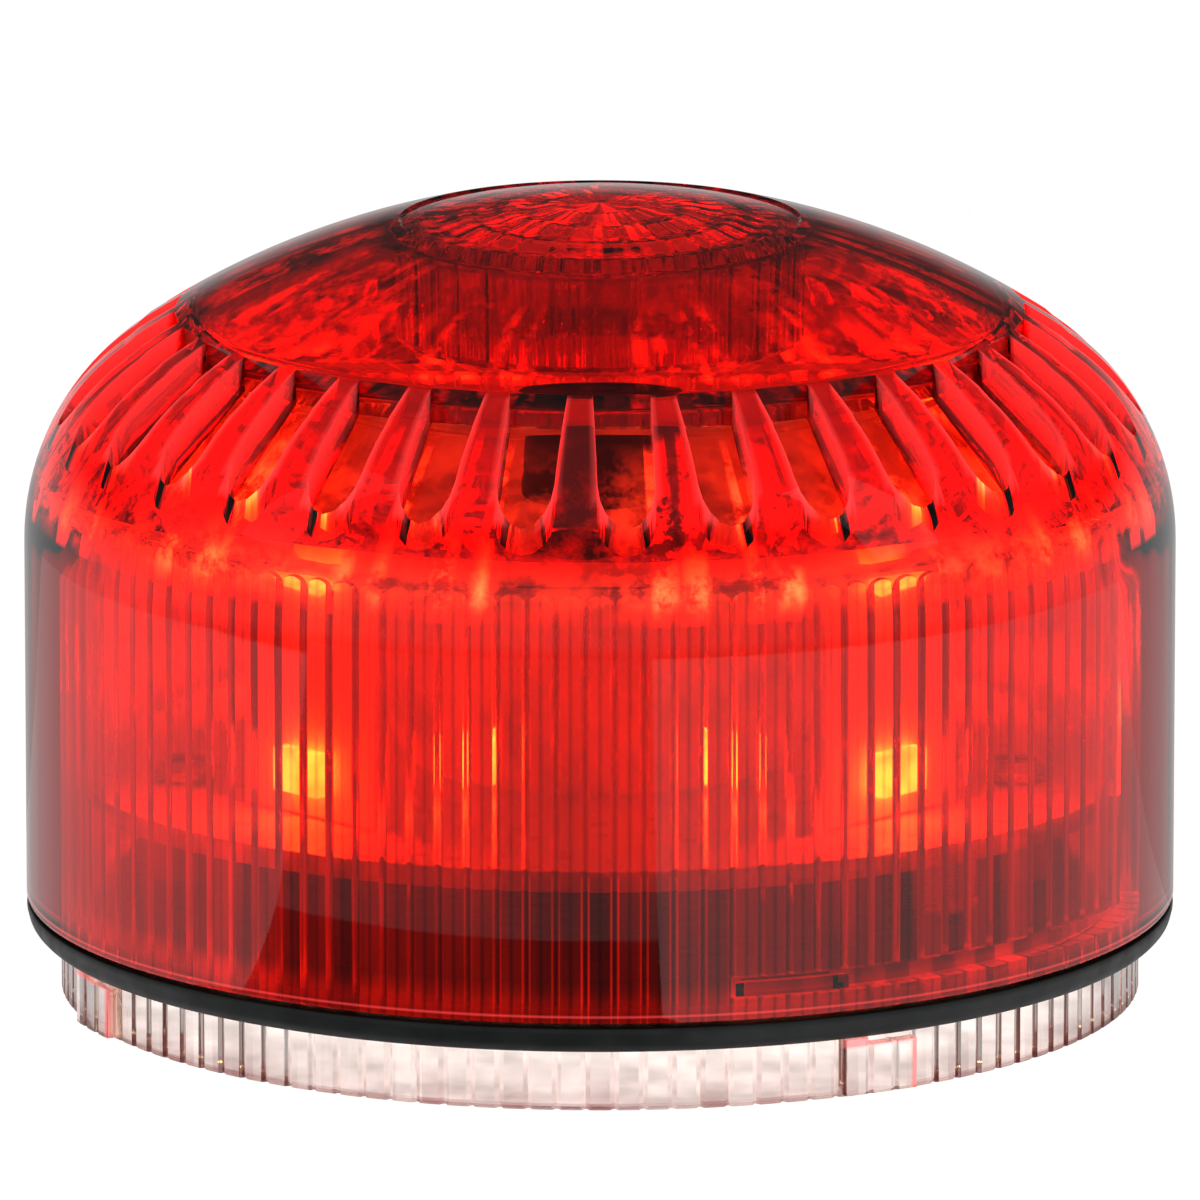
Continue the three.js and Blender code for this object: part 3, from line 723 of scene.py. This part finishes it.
def body_columns():
    """(azimuth, drop, place along the flute) of every column round the body."""
    columns = []
    for i in range(FLUTES):
        for along, drop in FLUTE_COLUMNS:
            columns.append((i * 360.0 / FLUTES + math.degrees(along / BODY_R), max(drop, 0.0), along))
    return columns


def within(azimuth, start, end):
    return 0 <= (azimuth - start) % 360 <= (end - start) % 360


def snapped(azimuth):
    """The nearest groove between two flutes."""
    pitch = 360.0 / FLUTES
    return (round(azimuth / pitch - 0.5) + 0.5) * pitch


def in_slot(azimuth, start, end):
    """Whether this azimuth is between two offsets from either of the dome's lugs."""
    return any(within(azimuth, snapped(lug + start), snapped(lug + end)) for lug in LUG_AZIMUTHS)


def in_track(azimuth):
    return in_slot(azimuth, -LUG_HALF - SLOT_PLAY, TWIST + LUG_HALF + SLOT_PLAY)


def in_entry(azimuth):
    return in_slot(azimuth, TWIST - LUG_HALF - SLOT_PLAY, TWIST + LUG_HALF + SLOT_PLAY)


def ring_lug_top(azimuth):
    """How high the coupling lug at this azimuth stands, or 0 where there is none."""
    pitch = 360.0 / FLUTES
    for a in RING_LUGS:
        start = snapped(a - 4.0)
        if within(azimuth, start + 0.2, start + pitch + 0.1):
            return LUG_HEIGHTS[0]
        if within(azimuth, start + pitch + 0.1, start + 3 * pitch - 0.3):
            return LUG_HEIGHTS[1]
    return 0.0


def lug_end(azimuth):
    """Whether this is the last column of a coupling lug on its right."""
    return ring_lug_top(azimuth) > 0 and ring_lug_top(azimuth + 0.7) == 0


def body_radius(azimuth, drop, z):
    r = BODY_R - (drop * 0.6 if z < LUG_HEIGHTS[0] + 0.1 else drop)
    if RING_LUG_FOOT <= z <= ring_lug_top(azimuth):
        return r + RING_LUG_PROUD
    slotted = SLOT_LOW <= z <= SLOT_HIGH and in_track(azimuth)
    if slotted or (z >= SLOT_LOW and in_entry(azimuth)):
        return SLOT_R
    return r


def body_cone_z(r):
    cone_r, cone_z = inner_cone()
    return cone_z - 0.45 + (r - cone_r) * POCKET_SLOPE


random.seed(11)
FLUTE_GLOW = [random.uniform(0.75, 1.2) for _ in range(FLUTES)]
LOW_GLOW = [random.uniform(0.6, 1.3) for _ in range(FLUTES)]
FOOT_SHADE = [random.uniform(0.25, 0.8) for _ in range(FLUTES)]
UPPER_ROWS_Z = 40.3  # above this the body is lit more
RING_TOP = 6.5  # the coupling ring is below this, and the lower part of the body above it
FOOT_BAND = 0.55
SHADE_FROM_PARTS_BEHIND = ((-42.0, -24.0), (28.0, 66.0))  # azimuths where dark parts stand close behind the flutes


def body_glow(r, azimuth, z):
    """The lamp lights the body above the main board; below it, only a little light is left. Gives the painted
    glow, its redness and the painted shade.
    """
    flute = round(azimuth * FLUTES / 360.0) % FLUTES
    front = abs((azimuth + 180) % 360 - 180)
    groove = min(max((BODY_R - r) / FLUTE_DEPTH, 0.0), 1.0)
    if r < SLOT_R + 0.1:
        groove = 0.0
    # painted shade: dark lines in the grooves and down each flute's middle near the front, where less glow is
    # painted too
    off_middle = abs((azimuth * FLUTES / 360.0 + 0.5) % 1.0 - 0.5)
    painted_mid_line = 0.85 * math.exp(-((front / 45.0) ** 4)) if off_middle < 0.02 and r > SLOT_R + 0.1 else 0.0
    lines = max(groove, painted_mid_line)
    flat = 1.0 - 0.9 * lines
    if z > MAIN_BOARD_TOP:
        top = 1.4 if z > UPPER_ROWS_Z else 1.0
        side = 1.0 + 1.2 * math.exp(-(((front - 85.0) / 22.0) ** 2))
        return 0.12 * top * side * flat * FLUTE_GLOW[flute], 0.0, 0.95 * lines
    if z > RING_TOP:
        # Below the main board: less painted glow towards the front, painted shade on every other flute where
        # dark parts stand behind, and a painted bright line on the grooves' flanks at the front.
        dark = math.exp(-((front / 14.0) ** 2))
        behind = any(within(azimuth, *span) for span in SHADE_FROM_PARTS_BEHIND)
        level = 0.5 if z < SLOT_LOW else 0.2
        if behind and flute % 2:
            level *= 0.35
        flank = 0.5 * dark if 0.1 < groove < 0.4 else 0.0
        return level * flat * LOW_GLOW[flute] * (1 - 0.75 * dark) + flank, 0.0, 0.9 * lines
    if r > BODY_R + 0.5:
        # painted red glow over full painted shade on the lug's top and right edge; the rest of the lug gets a
        # light painted shade
        top = z > LUG_HEIGHTS[1] - 0.05
        edge = top or lug_end(azimuth)
        return (0.5 if edge else 0.0), 1.0, (1.0 if edge else 0.1)
    if z < FOOT_BAND:
        # painted shade along the ring's foot, random per flute and lighter in the grooves, with a faint
        # painted red glow
        return 0.03, 1.0, FOOT_SHADE[flute] * (1.0 - 0.5 * groove)
    # In the ring the grooves get a little painted glow and painted shade, and the flats a pinker tint,
    # strongest at the front.
    front_tint = 0.5 + 0.5 * math.exp(-((front / 40.0) ** 2))
    return 0.15 * groove, front_tint * (1.0 - groove), 0.3 * groove


def build_body():
    shell = Shell(body_glow)
    columns = body_columns()
    azimuths = [a for a, _, _ in columns]
    step = 0.03
    high, low = LUG_HEIGHTS
    levels = [0.0, RING_LUG_FOOT - step, RING_LUG_FOOT, 0.5, 0.6, low - 0.25, low, low + step]
    levels += [high - 0.02, high, high + step]
    levels += [LEDGE_HIGH, SLOT_LOW - step, SLOT_LOW]
    levels += [SLOT_HIGH, SLOT_HIGH + step, 14.0, MAIN_BOARD_TOP - 0.1, MAIN_BOARD_TOP + 0.1]
    levels += [22.0, 27.0, 32.0, 36.0]
    rows = [circle(BODY_R_IN, 0.0, azimuths)]
    rows.append([polar(BODY_R - drop - 0.15, a, 0.0) for a, drop, _ in columns])
    for z in levels:
        rows.append([polar(body_radius(a, drop, z), a, max(z, 0.12)) for a, drop, _ in columns])
    groove_r = BODY_R - FLUTE_DEPTH
    arch_low, arch_half = 39.2, 1.107
    for rise, on_rib in ((-0.25, True), (-0.08, True), (0.05, False)):
        row = []
        for a, drop, along in columns:
            offset = min(abs(along), abs(2 * arch_half - along), arch_half)
            arch = arch_low + math.sqrt(arch_half**2 - offset**2)
            r = BODY_R - drop if on_rib else groove_r
            row.append(polar(SLOT_R if in_entry(a) else r, a, arch + rise))
        rows.append(row)
    top_r = [SLOT_R if in_entry(a) else groove_r for a in azimuths]
    rows.append([polar(r, a, body_cone_z(r)) for r, a in zip(top_r, azimuths)])
    rows.append(circle(BODY_R_IN, body_cone_z(BODY_R_IN), azimuths))
    for z in (MAIN_BOARD_TOP + 0.1, MAIN_BOARD_TOP - 0.1, LEDGE_HIGH + 0.2):
        rows.append(circle(BODY_R_IN, z, azimuths))
    rows.append(circle(BODY_R_IN - 0.2, LEDGE_HIGH, azimuths))
    for r, z in ((LEDGE_R + 0.1, LEDGE_HIGH), (LEDGE_R, LEDGE_HIGH - 0.1), (LEDGE_R, LEDGE_LOW + 0.1)):
        rows.append(circle(r, z, azimuths))
    rows += [circle(LEDGE_R + 0.1, LEDGE_LOW, azimuths), circle(BODY_R_IN - 0.2, LEDGE_LOW, azimuths)]
    rows.append(circle(BODY_R_IN, LEDGE_LOW - 0.2, azimuths))
    rows.append(rows[0])
    shell.skin(rows, closed=True)
    finish_mesh("fluted_body", shell, CLEAR, "housing", ["clear_body"], sharp=25.0)


def build_gasket():
    low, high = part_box("gasket")
    bottom, top = low.z / MM, high.z / MM
    corners = [
        (DOME_R_IN, bottom, 0.1),
        (DOME_R - 0.9, bottom, 0.4),
        (DOME_R - 0.25, bottom + 0.7, 0.3),
        (DOME_R, top - 0.4, 0.2),
        (DOME_R - 0.1, top, 0.12),
        (DOME_R_IN, top, 0.1),
    ]
    finish_mesh("seal_ring", turned(corners, 240), RUBBER, "housing", ["gasket"], sharp=40.0)


# ---------- inner pieces ----------


def build_light_guide():
    low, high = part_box("light_guide")
    bottom, top, r_top = low.z / MM, high.z / MM, high.x / MM
    wall, r_bottom = 1.6, 15.0
    corners = [
        (r_bottom - wall, bottom, 0),
        (r_bottom, bottom, 0.3),
        (lerp(r_bottom, r_top, 0.5), lerp(bottom, top, 0.5), 4.0),
        (r_top, top, 0.3),
        (r_top - wall, top, 0.3),
    ]
    finish_mesh("reflector_cone", turned(corners), LIT_WHITE, "housing", ["light_guide"])


def build_top_board():
    low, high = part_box("top_board")
    bottom, top, r = low.z / MM, high.z / MM, high.x / MM
    corners = [(0, bottom, 0), (r, bottom, 0.15), (r, top, 0.15), (0, top, 0)]
    finish_mesh("upper_disc", turned(corners), LIT_BOARD, "housing", ["top_board"])


def build_sounder():
    low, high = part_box("sounder_case")
    floor, rim, r = low.z / MM, high.z / MM, high.x / MM
    wall = 0.8
    corners = [
        (0, floor, 0),
        (r, floor, 0.4),
        (r, floor + 1.2, 0.1),
        (r - 0.15, floor + 1.35, 0.1),
        (r - 0.15, rim - 0.8, 0.1),
        (r, rim - 0.65, 0.1),
        (r, rim, 0.2),
        (r - wall, rim, 0.2),
        (r - wall, floor + wall, 0.3),
        (0, floor + wall, 0),
    ]
    finish_mesh("buzzer_cup", turned(corners, 96), BLACK, "housing", ["sounder_case"])
    low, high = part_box("sounder_cap")
    bottom, top, port = low.z / MM, high.z / MM, 1.4
    corners = [
        (port, bottom, 0),
        (r, bottom, 0.15),
        (r, top, 0.45),
        (r - 1.2, top, 0.15),
        (r - 1.4, top - 0.25, 0.15),
        (port + 1.2, top - 0.25, 0.15),
        (port + 1.0, top, 0.15),
        (port, top, 0.3),
    ]
    finish_mesh("buzzer_lid", turned(corners, 96), BLACK, "housing", ["sounder_cap"])


def node_centre(name):
    low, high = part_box(name)
    return (low.x + high.x) / 2 / MM, (low.y + high.y) / 2 / MM


def build_plungers():
    for i in range(1, 5):
        node = f"contact_plunger_{i}"
        low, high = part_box(node)
        tip, top = low.z / MM, high.z / MM
        corners = [
            (0, tip, 0),
            (0.7, tip + 0.05, 0.3),
            (1.1, tip + 0.6, 0.4),
            (1.1, tip + 2.8, 0.05),
            (1.9, tip + 2.8, 0.15),
            (1.9, tip + 3.8, 0.15),
            (0.9, tip + 3.8, 0.05),
            (0.9, top, 0.25),
            (0, top, 0),
        ]
        shape = turned(corners, 48, centre=node_centre(node))
        finish_mesh(f"contact_pin_{i}", shape, GOLD, f"contact_{i}", [node])


def build_cans():
    for node, material, slot in (
        ("capacitor_1", CAN, "capacitor"),
        ("capacitor_2", CAN, "capacitor"),
        ("capacitor_3", CAN, "capacitor"),
        ("inductor", FERRITE, "ferrite"),
    ):
        low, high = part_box(node)
        bottom, top = low.z / MM, high.z / MM
        r = (high.x - low.x) / 2 / MM
        corners = [
            (0, bottom, 0),
            (r, bottom, 0.1),
            (r, bottom + 0.7, 0.2),
            (r - 0.2, bottom + 1.0, 0.1),
            (r - 0.2, top - 0.9, 0.1),
            (r - 0.35, top - 0.75, 0.1),
            (r - 0.2, top - 0.6, 0.1),
            (r - 0.2, top, 0.35),
            (r - 0.9, top, 0.1),
            (r - 1.0, top - 0.1, 0.05),
            (0, top - 0.1, 0),
        ]
        shape = turned(corners, 64, centre=node_centre(node))
        finish_mesh(f"round_{node}", shape, material, "housing", [node])


# ---------- carried-over nodes ----------


def dress_nodes():
    """Gives every CAD node its material and rounds its edges."""
    slots = {s["node"]: s["material_slot"] for s in frame["record"]["subparts"]}
    for name, node in NODES.items():
        material = NODE_MATERIALS.get(name, SLOT_MATERIALS[slots[name]])
        if not node.material_slots:
            node.data.materials.append(material)
        for slot in node.material_slots:
            slot.material = material
        add_bevel(node, 0.08)


# ---------- stage ----------

FLOOR_HALF = 6000.0
DISC_R = 41.5
CARD_Z = -0.5
SOFTBOX_HEIGHT = 0.6  # metres, as are a softbox's width and place


def stage_sheet(name, shell, material):
    """A thin sheet that belongs to the stage and not to the object."""
    mesh = bpy.data.meshes.new(name)
    mesh.from_pydata(shell.verts, [], shell.faces)
    mesh.materials.append(material)
    sheet = bpy.data.objects.new(name, mesh)
    bpy.context.scene.collection.objects.link(sheet)
    return sheet


def build_floor():
    material, _, bsdf = new_material("stage_floor")
    bsdf.inputs["Base Color"].default_value = (0.55, 0.55, 0.55, 1)
    bsdf.inputs["Roughness"].default_value = 0.9
    bsdf.inputs["Emission Color"].default_value = (1, 1, 1, 1)
    bsdf.inputs["Emission Strength"].default_value = 0.98
    shell = Shell()
    half, z = FLOOR_HALF, -0.02
    shell.face([(-half, -half, z), (half, -half, z), (half, half, z), (-half, half, z)])
    floor = stage_sheet("stage_floor", shell, material)
    floor.visible_glossy = False
    floor.visible_transmission = False


def build_disc():
    """What the clear ring shows through itself: a lit white disc in place of the hidden floor."""
    material, tree, bsdf = new_material("stage_inside")
    bsdf.inputs["Base Color"].default_value = (0.5, 0.46, 0.45, 1)
    bsdf.inputs["Roughness"].default_value = 0.9
    bsdf.inputs["Emission Color"].default_value = (1.0, 0.94, 0.91, 1)
    link(tree, spread(tree, noise(tree, 170.0, 3.0), 0.55, 1.15), bsdf.inputs["Emission Strength"])
    shell = Shell()
    shell.face(circle(DISC_R, -0.01, even_azimuths(64)))
    stage_sheet("stage_disc", shell, material)


def build_card(name, span, reach, strength):
    """A bright stretch of table that only reflections see, between two azimuths and two distances."""
    material, _, bsdf = new_material(name)
    bsdf.inputs["Base Color"].default_value = (0, 0, 0, 1)
    bsdf.inputs["Emission Color"].default_value = (1.0, 0.98, 0.97, 1)
    bsdf.inputs["Emission Strength"].default_value = strength
    shell = Shell()
    azimuths = [lerp(*span, k / 48) for k in range(49)]
    shell.skin([circle(DOME_R + distance, CARD_Z, azimuths) for distance in reach])
    card = stage_sheet(name, shell, material)
    card.visible_camera = False
    card.visible_diffuse = False
    card.visible_transmission = False
    card.visible_shadow = False


def softbox(name, place, width, power):
    light = bpy.data.lights.new(name, "AREA")
    light.shape = "RECTANGLE"
    light.size = width
    light.size_y = SOFTBOX_HEIGHT
    light.energy = power
    lamp = bpy.data.objects.new(name, light)
    bpy.context.scene.collection.objects.link(lamp)
    direction = Vector((0, 0, 0.05)) - Vector(place)
    lamp.matrix_world = Matrix.Translation(place) @ direction.to_track_quat("-Z", "Y").to_matrix().to_4x4()
    lamp.visible_camera = False


def grey_ramp(tree, value, stops):
    """A curve through (value, grey) stops."""
    ramp = tree.nodes.new("ShaderNodeValToRGB")
    link(tree, value, ramp.inputs["Fac"])
    elements = ramp.color_ramp.elements
    while len(elements) < len(stops):
        elements.new(0.5)
    for element, (place, grey) in zip(elements, stops):
        element.position = place
        element.color = (grey, grey, grey, 1)
    return ramp.outputs["Color"]


def build_world():
    world = bpy.data.worlds.new("studio")
    bpy.context.scene.world = world
    world.use_nodes = True
    tree = world.node_tree
    background = tree.nodes["Background"]
    background.inputs["Color"].default_value = (1, 0.99, 0.99, 1)
    direction = tree.nodes.new("ShaderNodeTexCoord")
    split = tree.nodes.new("ShaderNodeSeparateXYZ")
    link(tree, direction.outputs["Generated"], split.inputs["Vector"])
    height = spread(tree, split.outputs["Z"], 0.0, 1.0, -1.0, 1.0)
    front = grey_ramp(tree, height, ((0.38, 0.05), (0.45, 0.4), (0.64, 0.4), (0.8, 0.08)))
    back = grey_ramp(tree, height, ((0.47, 0.5), (0.58, 0.06)))
    both = tree.nodes.new("ShaderNodeMix")
    link(tree, spread(tree, split.outputs["Y"], 0.0, 1.0, -0.4, 0.5), both.inputs[0])
    link(tree, front, both.inputs[2])
    link(tree, back, both.inputs[3])
    link(tree, both.outputs[0], background.inputs["Strength"])


def build_camera():
    distance, elevation, target_z, field = 1400.0, 12.44, 30.6, 93.9
    data = bpy.data.cameras.new("camera")
    data.sensor_width = 36.0
    data.lens = 36.0 * distance / field
    data.clip_start = 0.01
    data.clip_end = 50.0
    camera = bpy.data.objects.new("camera", data)
    bpy.context.scene.collection.objects.link(camera)
    e = math.radians(elevation)
    target = Vector((0, 0, target_z)) * MM
    place = target + Vector((0, -math.cos(e), math.sin(e))) * distance * MM
    aim = (target - place).to_track_quat("-Z", "Y")
    camera.matrix_world = Matrix.Translation(place) @ aim.to_matrix().to_4x4()
    bpy.context.scene.camera = camera


def build_stage():
    build_floor()
    build_disc()
    build_world()
    build_camera()
    build_card("card_left", (-137.0, -54.0), (3.0, 170.0), 0.6)
    build_card("card_right", (9.0, 116.0), (3.0, 190.0), 0.6)
    build_card("card_front", (-54.0, 9.0), (60.0, 190.0), 0.25)
    softbox("softbox_left", (-0.7, -0.2, 0.65), 0.2, 0.05)
    softbox("softbox_right", (0.7, -0.3, 0.65), 0.25, 0.15)
    scene = bpy.context.scene
    scene.view_settings.view_transform = "Standard"
    scene.cycles.max_bounces = 18
    scene.cycles.transmission_bounces = 18
    scene.cycles.sample_clamp_indirect = 60.0


build_stage()
build_dome()
build_body()
build_gasket()
build_light_guide()
build_top_board()
build_sounder()
build_plungers()
build_cans()
dress_nodes()
